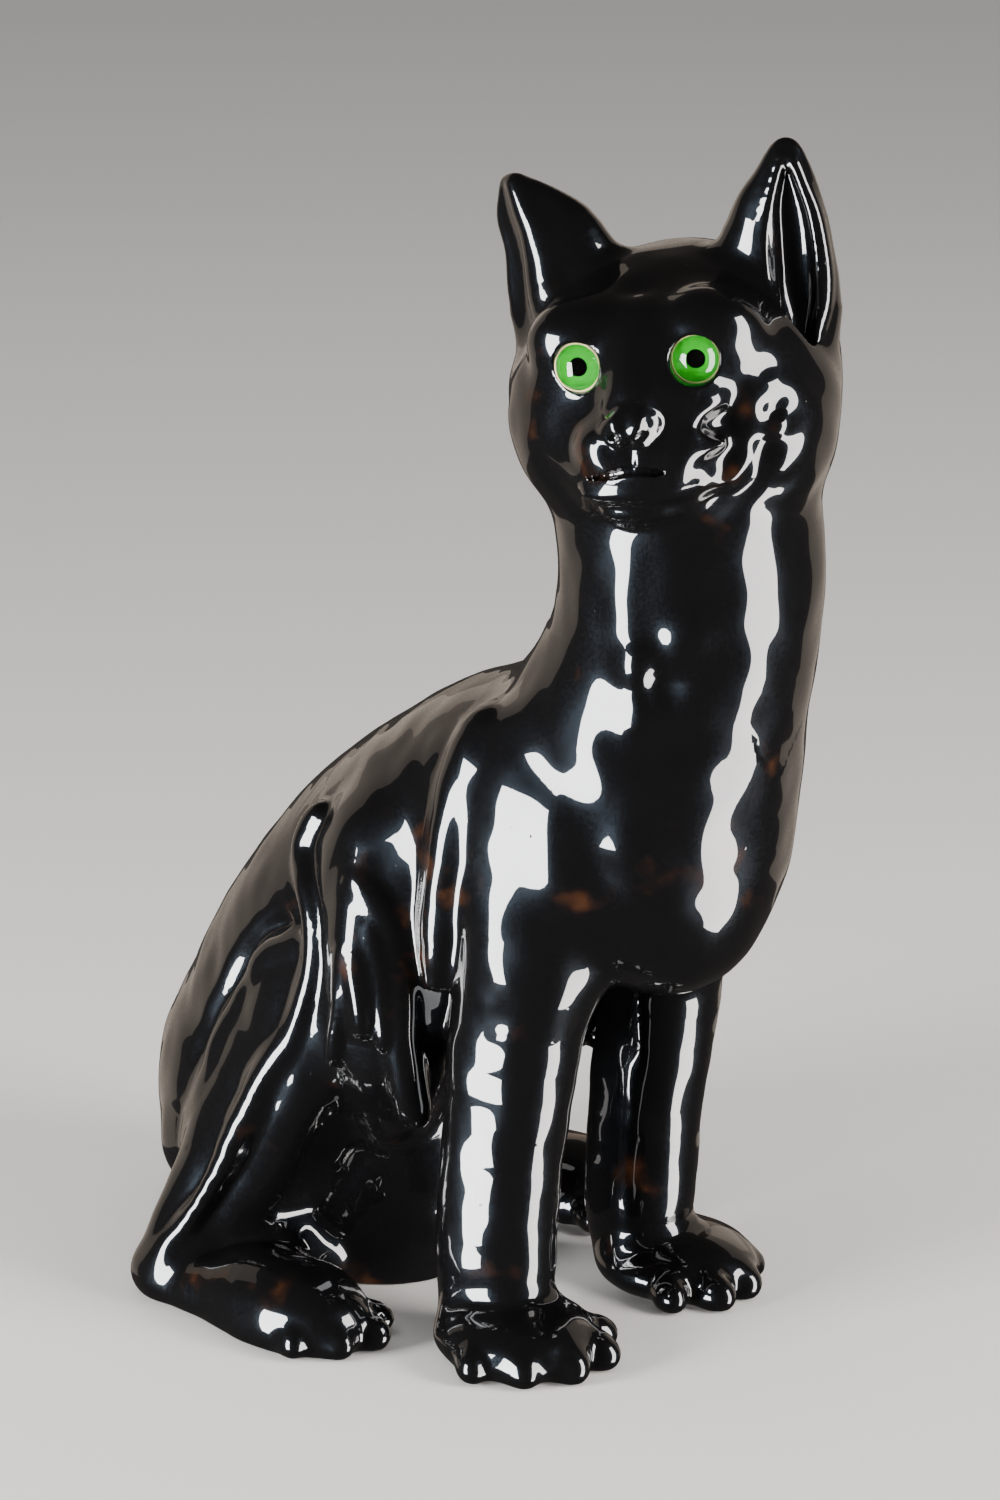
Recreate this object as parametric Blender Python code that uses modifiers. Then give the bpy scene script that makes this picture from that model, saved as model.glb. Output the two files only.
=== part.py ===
"""Seated ceramic cat, head turned to its right, with glass eyes set in the face.

The cat faces -Y and stands on z = 0. Its right side is -X.
Seven hollow clay castings meet at luted seams. Each eye is a clear glass dome over a
green enamel disc and a black pupil, bedded in a cream cement cup in its socket.
Shape tables are in millimetres, as a modeller would measure them. MM turns them into metres.
"""
import math

import bmesh
import bpy
import numpy as np
from mathutils import Matrix, Vector

MM = 0.001

# Middle of the footprint in the modeller's frame; it becomes the part's origin
FOOTPRINT_MIDDLE = (0.0, 12.5, 0.0)

# Walls, seams and openings
WALL = 6.5
HEAD_WALL = 8.0
SEAM_GAP = 0.3
VENT_RADIUS = 5.0
VENT_CENTRE = (0.0, 74.0)
VENT_HEIGHT = 30.0

# Head: centre, and turn about up, about its own side axis and about its nose
HEAD_CENTRE = (-3.0, -63.0, 281.0)
HEAD_TURN = (-65.0, 3.0, -7.0)

# Eyes, measured in the head's own frame from its centre
EYE_SIDE = 16.0
EYE_FORWARD = 34.4
EYE_HEIGHT = 13.2
EYE_SPLAY = 8.0
EYE_RISE = 5.0
SOCKET_RADIUS = 7.5
SOCKET_DEPTH = 4.0
SOCKET_REACH = 12.0
CUP_RADIUS = 7.2
CUP_BORE = 6.6
CUP_LIP = 0.3
CUP_FLOOR = 1.0
IRIS_RADIUS = 6.3
IRIS_THICKNESS = 0.8
PUPIL_RADIUS = 2.5
LENS_RADIUS = 6.3
LENS_BACK = -1.3
LENS_EDGE = 0.2
LENS_RISE = 3.4
TURNED_STEPS = 32
DOME_RINGS = 6
MERGE_DISTANCE = 0.00001

# Display sizes of the empties
EYE_AXIS_SIZE = 10.0
BASE_AXIS_SIZE = 20.0

# Materials: colour and roughness of each
SHADES = {
    "black_glaze": ((0.006, 0.005, 0.005), 0.05),
    "clear_glass": ((0.86, 0.93, 0.88), 0.02),
    "green_enamel": ((0.055, 0.42, 0.07), 0.25),
    "black_glass": ((0.004, 0.004, 0.004), 0.05),
    "cream_cement": ((0.66, 0.58, 0.34), 0.7),
}

# Spacing of the samples of a cavity, and how many triangles its skin keeps
CAVITY_STEP = 4.0
CAVITY_TRIANGLES = 1300
HEAD_CAVITY_TRIANGLES = 300
FIELD_MARGIN = 10.0
SMOOTH_ANGLE = 40.0
CLAY_FAR = 60.0
OUTSIDE = 1.0
SPLINE_STEPS = 4
TINY = 1e-9

# Widths over which one lump of clay is smoothed into another
BROAD_BLEND = 14.0
LIMB_BLEND = 8.0
PAW_BLEND = 5.5
CLOSE_BLEND = 4.0
EDGE_BLEND = 3.0
FINE_BLEND = 2.0

# Trunk: ball (centre, radii, turn) and roll (x, y, z, radius) stations, each with its blend
TRUNK_ROLL = ((0, -46, 160, 41), (0, -6, 142, 44), (0, 34, 106, 48), (0, 68, 58, 47))
CHEST_BALL = ((0, -57, 160), (38, 35, 54), (0, -10, 0))
RUMP_BALL = ((0, 74, 42), (46, 44, 44), (0, 0, 0))
NECK_ROLL = ((0, -60, 185, 37), (0, -68, 220, 35), (0, -66, 256, 35))
BELLY_ROLL = ((0, 38, 90, 38), (0, 42, 60, 38), (0, 43, 36, 36), (0, 46, 4, 28))
TAIL_ROLL = ((0, 106, 50, 13), (1, 119, 30, 11.5), (12, 124, 13, 10), (32, 117, 9, 9), (51, 103, 8, 6.5))

# Limbs of the cat's left side (+X); the right side mirrors them
SHOULDER_BALL = ((30, -36, 142), (18, 25, 46), (0, -6, 0))
FORELEG_FRONT_ROLL = ((32, -38, 130, 19), (32.4, -36, 90, 14.5), (32.4, -31, 50, 13.2), (32.4, -29, 18, 13))
FORELEG_BACK_ROLL = ((33, -34, 126, 15), (33.8, -28.5, 90, 13.8), (33.8, -23.5, 50, 12.8),
                     (33.8, -21.5, 18, 12.6))
FOREPAW_BALL = ((37, -37, 7), (22, 25, 12), (6, 0, 0))
THIGH_ROLL = ((34, 12, 142, 17), (37, 9, 112, 19), (37, 9, 90, 17), (34, 11, 72, 12), (30, 15, 60, 8))
SHANK_ROLL = ((37, 27, 100, 18), (37.5, 38, 75, 19), (41, 50, 48, 17), (51, 60, 26, 12.5), (65, 70, 8, 7.5))
CALF_ROLL = ((38, 40, 96, 12.5), (40, 54, 72, 12), (44, 64, 48, 11.5), (56, 69, 26, 9.5), (68, 72, 8, 7))
WEB_BALL = ((41, 52, 10), (19, 19, 17), (0, 0, 0))
BUTTOCK_BALL = ((28, 84, 36), (19.5, 19.5, 20), (0, 0, 0))
THIGH_EDGE_ROLL = ((39, 34, 148, 3.5), (40, 38, 138, 3.5), (46.5, 31, 129, 4), (51, 24, 118, 4),
                   (53, 25, 102, 4), (53.5, 32, 86, 4), (55, 39, 75, 4), (57.5, 46.5, 60, 4), (63, 54, 37, 4),
                   (67.5, 64.5, 20, 4), (71, 71, 8, 4))
REAR_EDGE_ROLL = ((51, 29, 114, 2.5), (47.5, 41, 109, 3), (47, 48, 103.5, 3), (46.5, 54, 94, 3),
                  (46.5, 59.5, 85, 3), (47, 64, 77, 3), (47, 67, 69, 3), (47, 71, 56, 3), (46, 78, 43, 3),
                  (48, 76, 30, 2.5))
REAR_VALLEY_ROLL = ((48, 40, 116, 2), (50, 49, 110, 3.5), (50, 57, 101, 4), (50.5, 63, 91, 4),
                    (51, 69, 80, 3.5), (50, 78, 68, 2))
HIND_FOOT_ROLL = ((66, 76, 6, 7), (68, 54, 7, 8), (66, 36, 8, 12))
HIND_PAW_BALL = ((64, 25, 7), (18, 28, 15.5), (4, 0, 0))
SHOULDER_RIDGE_ROLL = ((34, -22, 182, 6), (43, -20, 160, 5), (46, -18, 135, 5), (46, -16, 112, 4))
FLANK_ROLL = ((47, 9, 136, 5), (52, 7, 116, 5.5), (53, 6, 98, 4))
FLANK_FOLD_ROLL = ((51.5, 8, 136, 3.5), (50, 2.5, 131, 4.3), (48.5, -1, 122, 4.6), (48.5, -3.7, 104, 4.8),
                   (48, -4, 91, 4.8), (45.7, -4.2, 79, 5), (43, -4.3, 68, 5))

# Toes: x, y, size and turn of each
FORE_TOES = ((56, -37, 5.6, 50), (50, -49, 6, 28), (39.5, -56, 6.4, 6), (28, -57, 6.2, -10),
             (18.5, -49, 5.4, -32))
HIND_TOES = ((77, 13, 5.2, 35), (69.5, 4, 5.8, 14), (59.5, 1, 5.8, -8), (51, 7, 5.2, -30))
TOE_HEIGHT = 5.0
TOE_SHAPE = (0.95, 1.5, 1.05)

# Head, in its own frame: the nose points along -Y
CRANIUM_BALL = ((0, 8, 2), (44.5, 42, 34))
FACE_BALL = ((0, -8, -4), (40, 32, 30))
RIGHT_CHEEK_BALL = ((-22, -6, -11), (19, 26, 19))
LEFT_CHEEK_BALL = ((24, -6, -13), (20, 26, 21))
MUZZLE_BALL = ((0, -32, -13), (21, 18, 14))
RIGHT_LID_BALL = ((-18, -25, 20), (13, 10, 9))
LEFT_LID_BALL = ((18, -25, 20), (13, 10, 9))
RIGHT_PAD_BALL = ((-8, -41, -6.8), (9, 8, 7.5))
LEFT_PAD_BALL = ((8.5, -39, -8.5), (9.5, 8, 7.5))
NOSE_BRIDGE_ROLL = ((0.5, -25, 16, 10.5), (0.5, -34.3, 7, 9), (0, -42.3, 0, 6.8))
NOSE_SIDE_BALL = ((13, -32.5, 2), (8, 10, 9))
NOSE_BALL = ((-0.5, -46.3, -0.8), (8, 6, 5.4))
LOWER_LIP_BALL = ((-2, -41.5, -18.6), (15, 7.2, 4.6))
CHIN_BALL = ((-3, -37.5, -24.5), (11, 8.5, 5.2))
MOUTH_ROLL = ((-17, -41, -14.8, 0.7), (-9, -47.5, -13.4, 0.9), (-1, -49.6, -12, 0.8),
              (7, -47.5, -13.4, 0.9), (14, -43, -14.8, 0.7))
RIGHT_EAR_ROLL = ((-27, 6, 24, 18), (-30, 6, 37, 14), (-36, 6, 47.5, 9), (-40, 6, 54.5, 3.6))
LEFT_EAR_ROLL = ((29, 6, 18, 19), (32, 6, 36, 14), (35.5, 6, 50, 8), (37, 6, 58, 3.8))
RIGHT_EAR_HOLLOW = ((-53.5, -15.5, 21, 18.5), (-53.5, -16, 29, 23), (-54.1, -15.3, 38, 24),
                    (-55.7, -13.3, 47, 22), (-54.9, -9.9, 55, 20))
LEFT_EAR_HOLLOW = ((39.5, -6, 11, 3), (38, -4, 20, 5), (37.5, -3.5, 30, 5.8), (37.8, -2.5, 40, 5.4),
                   (38, -1, 49, 3.6), (38, 1, 55, 1.5))
EAR_FLATNESS = 0.62

# Seam planes, each a point on the plane and the direction out of the casting
BIG = 400.0
NECK_SEAM = ((-3, -63, 243), (0.22, 0.10, -1.0))
FORE_LEG_SEAMS = (((33, -32, 90), (0, 0.5, 1)), ((33, -8.2, 40), (0, 1, 0)), ((8, 0, 0), (-1, 0, 0)))
HIND_LEG_SEAMS = (((34, 0, 0), (-1, 0, 0)), ((40, -7.9, 60), (0, -1, 0)), ((40, 10, 158), (0, 0, 1)),
                  ((60, 88, 0), (0, 0.956, 0.293)))
TAIL_SEAMS = (((15.9, 106.2, 13.8), (-0.35, -0.70, 0.62)), ((0, 92, 0), (0, -1, 0)))
FLOOR_SEAM = ((0, 0, 0), (0, 0, -1))

# Hollows of the castings: box it is sampled in, wall around it and triangles of its skin
BODY_CAVITY = (((-90, -115, -5), (90, 140, 262)), WALL, CAVITY_TRIANGLES)
HEAD_CAVITY = (((-62, -128, 215), (62, 12, 350)), HEAD_WALL, HEAD_CAVITY_TRIANGLES)

# Castings: side, seams, box and spacing of the samples, triangles of the skin, and the hollow inside
TRUNK_CASTING = (((-85, -118, -3), (85, 128, 262)), 2.8, 2600)
LIMB_CASTINGS = (
    ("head_casting", 1, (NECK_SEAM,), ((-62, -128, 222), (62, 12, 350)), 1.8, 3000, "head"),
    ("front_leg_left", 1, FORE_LEG_SEAMS, ((0, -80, -3), (75, 0, 112)), 2.0, 900, "body"),
    ("front_leg_right", -1, FORE_LEG_SEAMS, ((-75, -80, -3), (0, 0, 112)), 2.0, 900, "body"),
    ("hind_leg_left", 1, HIND_LEG_SEAMS, ((25, -20, -3), (92, 100, 170)), 2.4, 1000, "body"),
    ("hind_leg_right", -1, HIND_LEG_SEAMS, ((-92, -20, -3), (-25, 100, 170)), 2.4, 1000, "body"),
    ("tail_casting", 1, TAIL_SEAMS, ((-30, 80, -3), (75, 145, 70)), 2.4, 500, None),
)


def start_scene():
    """Clear the scene and make the two collections."""
    for obj in list(bpy.data.objects):
        bpy.data.objects.remove(obj)
    made = []
    for name in ("ceramic_cat", "cutters"):
        collection = bpy.data.collections.new(name)
        bpy.context.scene.collection.children.link(collection)
        made.append(collection)
    made[1].hide_render = True
    return made


def turned(yaw, pitch, roll):
    """Columns are the turned X, Y and Z axes; angles are in degrees about Z, X and Y."""
    return np.array(Matrix.Rotation(math.radians(yaw), 3, "Z")
                    @ Matrix.Rotation(math.radians(pitch), 3, "X")
                    @ Matrix.Rotation(math.radians(roll), 3, "Y"))


HEAD_AXES = turned(*HEAD_TURN)


def smooth_min(first, second, blend):
    """Union of two distances, rounded over the blend width."""
    close = np.maximum(blend - np.abs(first - second), 0.0) / blend
    return np.minimum(first, second) - close * close * blend * 0.25


def from_head(point):
    """A point of the head's own frame, in the cat's frame."""
    return np.array(HEAD_CENTRE) + HEAD_AXES @ np.array(point, float)


def mirrored(stations, side):
    """Stations or a centre with X multiplied by side."""
    return tuple((side * s[0], *s[1:]) for s in stations)


def ball(centre, radii, turn=(0, 0, 0), blend=LIMB_BLEND, on_head=False, carve=False):
    """An ellipsoid of clay as (distance function, low corner, high corner, blend, carve)."""
    axes = turned(*turn)
    middle = np.array(centre, float)
    if on_head:
        axes = HEAD_AXES @ axes
        middle = from_head(centre)
    radii = np.array(radii, float)

    def distance(points):
        local = (points - middle) @ axes
        near = np.sqrt(((local / radii) ** 2).sum(-1))
        slope = np.sqrt(((local / radii ** 2) ** 2).sum(-1))
        return near * (near - 1.0) / np.maximum(slope, TINY)

    reach = np.sqrt(((axes * radii) ** 2).sum(1))
    return distance, middle - reach, middle + reach, blend, carve


def spline(stations):
    """Catmull-Rom points through the stations."""
    known = np.array(stations, float)
    line = np.vstack([2 * known[0] - known[1], known, 2 * known[-1] - known[-2]])
    points = []
    for i in range(1, len(line) - 2):
        a, b, c, d = line[i - 1:i + 3]
        for t in np.linspace(0, 1, SPLINE_STEPS, endpoint=False):
            points.append(0.5 * (2 * b + (c - a) * t + (2 * a - 5 * b + 4 * c - d) * t ** 2
                                 + (3 * b - a - 3 * c + d) * t ** 3))
    points.append(known[-1])
    return np.array(points)


def roll(stations, blend=LIMB_BLEND, on_head=False, carve=False, flat=1.0, inner=CLOSE_BLEND):
    """A tapered roll of clay along a spline; flat squashes its depth in the head's frame."""
    line = spline(stations)
    depth = line[:, 1].mean()

    def distance(points):
        local = points
        if on_head:
            local = (points - np.array(HEAD_CENTRE)) @ HEAD_AXES
            local[..., 1] = (local[..., 1] - depth) / flat + depth
        total = None
        for start, end in zip(line[:-1], line[1:]):
            step = end[:3] - start[:3]
            share = np.clip(((local - start[:3]) @ step) / (step @ step), 0, 1)
            gap = np.linalg.norm(local - start[:3] - share[..., None] * step, axis=-1)
            gap -= start[3] + (end[3] - start[3]) * share
            total = gap if total is None else smooth_min(total, gap, inner)
        return total * (0.5 + 0.5 * flat)

    middles = np.array([from_head(p[:3]) for p in line]) if on_head else line[:, :3]
    reach = line[:, 3:4]
    return distance, (middles - reach).min(0), (middles + reach).max(0), blend, carve


def body_masses():
    """Every lump of the trunk, limbs and tail, in the order they are joined."""
    masses = [
        roll(TRUNK_ROLL, inner=PAW_BLEND),
        ball(*CHEST_BALL, blend=BROAD_BLEND),
        ball(*RUMP_BALL, blend=BROAD_BLEND),
        roll(BELLY_ROLL),
        roll(NECK_ROLL, blend=BROAD_BLEND),
    ]
    for side in (-1, 1):
        masses += limb_masses(side)
    masses.append(roll(TAIL_ROLL, blend=CLOSE_BLEND))
    return masses


def limb_masses(side):
    """The lumps of one side's legs, +1 for the cat's left."""
    def lump(entry, blend):
        (x, y, z), radii, (yaw, pitch, lean) = entry
        return ball((side * x, y, z), radii, (side * yaw, pitch, lean), blend)

    def strip(stations, blend=LIMB_BLEND, carve=False):
        return roll(mirrored(stations, side), blend=blend, carve=carve)

    masses = [
        lump(SHOULDER_BALL, LIMB_BLEND),
        strip(FORELEG_FRONT_ROLL),
        strip(FORELEG_BACK_ROLL, EDGE_BLEND),
        lump(FOREPAW_BALL, PAW_BLEND),
        lump(WEB_BALL, LIMB_BLEND),
        strip(THIGH_ROLL),
        strip(SHANK_ROLL),
        strip(CALF_ROLL),
        lump(BUTTOCK_BALL, EDGE_BLEND),
        strip(REAR_VALLEY_ROLL, CLOSE_BLEND, carve=True),
        strip(THIGH_EDGE_ROLL, EDGE_BLEND),
        strip(REAR_EDGE_ROLL, EDGE_BLEND),
        strip(HIND_FOOT_ROLL, PAW_BLEND),
        lump(HIND_PAW_BALL, PAW_BLEND),
        strip(SHOULDER_RIDGE_ROLL, PAW_BLEND),
        strip(FLANK_ROLL, PAW_BLEND),
        strip(FLANK_FOLD_ROLL, EDGE_BLEND),
    ]
    for x, y, size, turn in FORE_TOES + HIND_TOES:
        radii = tuple(size * share for share in TOE_SHAPE)
        masses.append(lump(((x, y, TOE_HEIGHT), radii, (turn, 0, 0)), EDGE_BLEND))
    return masses


def head_masses():
    """Every lump of the head and ears, then the hollows pressed into them."""
    def lumps(entries, blend):
        return [ball(*entry, blend=blend, on_head=True) for entry in entries]

    masses = lumps((CRANIUM_BALL, FACE_BALL, RIGHT_CHEEK_BALL, LEFT_CHEEK_BALL, MUZZLE_BALL), LIMB_BLEND)
    masses += lumps((RIGHT_LID_BALL, LEFT_LID_BALL), LIMB_BLEND)
    masses += lumps((RIGHT_PAD_BALL, LEFT_PAD_BALL), EDGE_BLEND)
    masses.append(roll(NOSE_BRIDGE_ROLL, blend=PAW_BLEND, on_head=True))
    masses += lumps((NOSE_SIDE_BALL,), LIMB_BLEND)
    masses += lumps((NOSE_BALL, LOWER_LIP_BALL, CHIN_BALL), FINE_BLEND)
    masses.append(roll(MOUTH_ROLL, blend=FINE_BLEND, on_head=True, carve=True, inner=FINE_BLEND))
    masses += [roll(ear, blend=PAW_BLEND, on_head=True, flat=EAR_FLATNESS, inner=FINE_BLEND)
               for ear in (RIGHT_EAR_ROLL, LEFT_EAR_ROLL)]
    masses += [roll(hollow, blend=FINE_BLEND, on_head=True, carve=True, inner=FINE_BLEND)
               for hollow in (RIGHT_EAR_HOLLOW, LEFT_EAR_HOLLOW)]
    return masses


def clay_field(masses, low, high, step):
    """Signed distance to the joined masses on a grid from low to high."""
    low = np.array(low, float)
    counts = np.ceil((np.array(high) - low) / step).astype(int) + 1
    lines = [low[i] + step * np.arange(counts[i]) for i in range(3)]
    field = np.full(counts, CLAY_FAR)
    for distance, near, far, blend, carve in masses:
        reach = 2 * blend + FIELD_MARGIN
        first = np.clip(np.floor((near - reach - low) / step).astype(int), 0, counts)
        last = np.clip(np.ceil((far + reach - low) / step).astype(int) + 1, 0, counts)
        if (last <= first).any():
            continue
        box = tuple(slice(a, b) for a, b in zip(first, last))
        points = np.stack(np.meshgrid(*[line[s] for line, s in zip(lines, box)], indexing="ij"), -1)
        if carve:
            field[box] = -smooth_min(-field[box], distance(points), blend)
        else:
            field[box] = smooth_min(field[box], distance(points), blend)
    return field, low


def close_border(field):
    """Make the grid's outermost samples empty, so that its surface is closed."""
    for axis in range(3):
        for end in (0, -1):
            edge = [slice(None)] * 3
            edge[axis] = end
            field[tuple(edge)] = np.maximum(field[tuple(edge)], OUTSIDE)


def surface_net(field, low, step):
    """Points and quads of the zero surface of a grid."""
    index, points = net_points(field)
    return low + step * points, net_quads(field, index)


def net_points(field):
    """The numbering of the grid cells the surface crosses, and one point for each."""
    cells = np.array(field.shape) - 1
    total = np.zeros((*cells, 3))
    hits = np.zeros(cells)
    for axis in range(3):
        others = [a for a in range(3) if a != axis]
        for shift in ((0, 0), (0, 1), (1, 0), (1, 1)):
            start = np.zeros(3, int)
            start[others] = shift
            end = start.copy()
            end[axis] = 1
            a, b = (field[tuple(slice(c, c + n) for c, n in zip(corner, cells))] for corner in (start, end))
            crossed = (a < 0) != (b < 0)
            share = np.where(crossed, a / np.where(crossed, a - b, 1.0), 0.0)
            for k in range(3):
                total[..., k] += crossed * (start[k] + (share if k == axis else 0.0))
            hits += crossed
    used = hits > 0
    index = np.full(cells, -1)
    index[used] = np.arange(used.sum())
    return index, np.argwhere(used) + total[used] / hits[used][:, None]


def net_quads(field, index):
    """A quad round every grid edge the surface crosses, facing out."""
    quads = []
    for axis in range(3):
        u, v = (axis + 1) % 3, (axis + 2) % 3
        near = [slice(1, -1)] * 3
        near[axis] = slice(0, -1)
        far = list(near)
        far[axis] = slice(1, None)
        inside, beyond = field[tuple(near)] < 0, field[tuple(far)] < 0
        edges = np.argwhere(inside != beyond)
        out = inside[tuple(edges.T)]
        edges[:, [u, v]] += 1
        ring = []
        for du, dv in ((-1, -1), (0, -1), (0, 0), (-1, 0)):
            corner = edges.copy()
            corner[:, u] += du
            corner[:, v] += dv
            ring.append(index[tuple(corner.T)])
        ring = np.stack(ring, 1)
        quads.append(np.where(out[:, None], ring, ring[:, ::-1]))
    return np.vstack(quads)


def new_object(name, mesh, collection):
    """An object for a mesh, linked to its collection."""
    obj = bpy.data.objects.new(name, mesh)
    collection.objects.link(obj)
    return obj


def thinned_mesh(name, points, faces, step, triangles):
    """A mesh in metres, made even, then collapsed to about the given number of triangles."""
    mesh = bpy.data.meshes.new(name)
    mesh.from_pydata((points * MM).tolist(), [], faces.tolist())
    even = with_modifier(mesh, "REMESH", mode="VOXEL", voxel_size=step * MM)
    thin = with_modifier(even, "DECIMATE", ratio=triangles / (2 * len(even.polygons)))
    keep_largest(thin)
    thin.name = name
    return thin


def with_modifier(mesh, kind, **settings):
    """The mesh a modifier makes of another mesh."""
    obj = new_object("working", mesh, bpy.context.scene.collection)
    modifier = obj.modifiers.new(kind, kind)
    for key, value in settings.items():
        setattr(modifier, key, value)
    bpy.context.view_layer.update()
    made = bpy.data.meshes.new_from_object(obj.evaluated_get(bpy.context.evaluated_depsgraph_get()))
    bpy.data.objects.remove(obj)
    return made


def keep_largest(mesh):
    """Delete every connected body of a mesh but the one with the most vertices."""
    shape = bmesh.new()
    shape.from_mesh(mesh)
    bodies = []
    left = set(shape.verts)
    while left:
        body = {left.pop()}
        front = list(body)
        while front:
            for edge in front.pop().link_edges:
                for vert in edge.verts:
                    if vert in left:
                        left.remove(vert)
                        body.add(vert)
                        front.append(vert)
        bodies.append(body)
    bodies.sort(key=len)
    spare = [vert for body in bodies[:-1] for vert in body]
    bmesh.ops.delete(shape, geom=spare, context="VERTS")
    shape.to_mesh(mesh)
    shape.free()


def seam_block(name, seams, side, grow, cutters):
    """A convex block bounded by seam planes, moved outward by grow millimetres."""
    shape = bmesh.new()
    bmesh.ops.create_cube(shape, size=2 * BIG * MM)
    for point, out in seams:
        normal = Vector((side * out[0], out[1], out[2])).normalized()
        place = Vector((side * point[0], point[1], point[2])) + normal * grow
        cut = bmesh.ops.bisect_plane(shape, geom=shape.verts[:] + shape.edges[:] + shape.faces[:],
                                     plane_co=place * MM, plane_no=normal, clear_outer=True)
        rim = [e for e in cut["geom_cut"] if isinstance(e, bmesh.types.BMEdge)]
        bmesh.ops.edgeloop_fill(shape, edges=rim)
    bmesh.ops.recalc_face_normals(shape, faces=shape.faces[:])
    mesh = bpy.data.meshes.new(name)
    shape.to_mesh(mesh)
    shape.free()
    return as_cutter(new_object(name, mesh, cutters))


def as_cutter(obj):
    """Show an object as a wire that doesn't render."""
    obj.hide_render = True
    obj.display_type = "WIRE"
    return obj


def boolean(obj, cutter, operation):
    """Add an exact Boolean to an object."""
    cut = obj.modifiers.new(cutter.name, "BOOLEAN")
    cut.operation = operation
    cut.solver = "EXACT"
    cut.object = cutter


def casting(name, masses, box, step, triangles, collection):
    """The outside of one casting, sampled over its own box."""
    field, low = clay_field(masses, box[0], box[1], step)
    close_border(field)
    points, faces = surface_net(field, low, step)
    mesh = thinned_mesh(name, points, faces, step, triangles)
    obj = new_object(name, mesh, collection)
    smooth(obj)
    return obj


def cavity(name, masses, box, wall, triangles, cutters):
    """The hollow left inside the walls, as a cutter."""
    field, low = clay_field(masses, box[0], box[1], CAVITY_STEP)
    field += wall
    close_border(field)
    points, faces = surface_net(field, low, CAVITY_STEP)
    mesh = thinned_mesh(name, points, faces, CAVITY_STEP, triangles)
    return as_cutter(new_object(name, mesh, cutters))


def smooth(obj):
    """Shade a piece smooth, except across its seam edges."""
    obj.data.shade_smooth()
    obj.data.set_sharp_from_angle(angle=math.radians(SMOOTH_ANGLE))


def material(name, colour, roughness):
    """A Principled material."""
    made = bpy.data.materials.new(name)
    made.use_nodes = True
    shader = made.node_tree.nodes["Principled BSDF"]
    shader.inputs["Base Color"].default_value = (*colour, 1.0)
    shader.inputs["Roughness"].default_value = roughness
    made.diffuse_color = (*colour, 1.0)
    return made


def turned_piece(name, profile, parent, collection, shade, ring=False):
    """A lathe-turned piece about its parent's Z axis; the profile runs top to bottom outside."""
    mesh = bpy.data.meshes.new(name)
    points = [(r * MM, 0.0, z * MM) for r, z in profile]
    edges = [(i, i + 1) for i in range(len(points) - 1)]
    if ring:
        edges.append((len(points) - 1, 0))
    mesh.from_pydata(points, edges, [])
    obj = new_object(name, mesh, collection)
    spin = obj.modifiers.new("turned", "SCREW")
    spin.steps = TURNED_STEPS
    spin.render_steps = TURNED_STEPS
    spin.use_merge_vertices = True
    spin.merge_threshold = MERGE_DISTANCE
    spin.use_smooth_shade = False
    obj.parent = parent
    obj.data.materials.append(shade)
    return obj


def lens_profile():
    """Domed front, short straight edge and flat back."""
    radius = (LENS_RADIUS ** 2 + LENS_RISE ** 2) / (2 * LENS_RISE)
    centre = LENS_EDGE + LENS_RISE - radius
    widest = math.asin(LENS_RADIUS / radius)
    dome = [(radius * math.sin(widest * i / DOME_RINGS), centre + radius * math.cos(widest * i / DOME_RINGS))
            for i in range(DOME_RINGS + 1)]
    return dome + [(LENS_RADIUS, LENS_BACK), (0.0, LENS_BACK)]


def eye(side_name, side, parts, shades):
    """One set-in eye, its four pieces on an empty whose Z axis is the line of sight."""
    axis = bpy.data.objects.new(side_name + "_eye_axis", None)
    parts.objects.link(axis)
    axis.empty_display_size = EYE_AXIS_SIZE * MM
    axis.matrix_world = eye_matrix(side)
    back = LENS_BACK - SEAM_GAP
    iris_back = back - IRIS_THICKNESS
    floor = iris_back - SEAM_GAP
    cup_back = floor - CUP_FLOOR
    hole = PUPIL_RADIUS + SEAM_GAP
    turned_piece(side_name + "_eye_lens", lens_profile(), axis, parts, shades["clear_glass"])
    turned_piece(side_name + "_eye_iris", [(hole, back), (IRIS_RADIUS, back), (IRIS_RADIUS, iris_back),
                                           (hole, iris_back)],
                 axis, parts, shades["green_enamel"], ring=True)
    turned_piece(side_name + "_eye_pupil", [(0.0, back), (PUPIL_RADIUS, back), (PUPIL_RADIUS, iris_back),
                                            (0.0, iris_back)],
                 axis, parts, shades["black_glass"])
    turned_piece(side_name + "_eye_bedding", [(0.0, floor), (CUP_BORE, floor), (CUP_BORE, CUP_LIP),
                                              (CUP_RADIUS, CUP_LIP), (CUP_RADIUS, cup_back), (0.0, cup_back)],
                 axis, parts, shades["cream_cement"])


def eye_matrix(side):
    """Where an eye sits, its Z axis pointing out of the face."""
    place = from_head((side * EYE_SIDE, -EYE_FORWARD, EYE_HEIGHT)) * MM
    out = Matrix(HEAD_AXES.tolist()) @ Matrix.Rotation(math.radians(side * EYE_SPLAY), 3, "Z")
    sight = out @ Matrix.Rotation(math.radians(90 - EYE_RISE), 3, "X")
    return Matrix.Translation(Vector(place)) @ sight.to_4x4()


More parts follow.
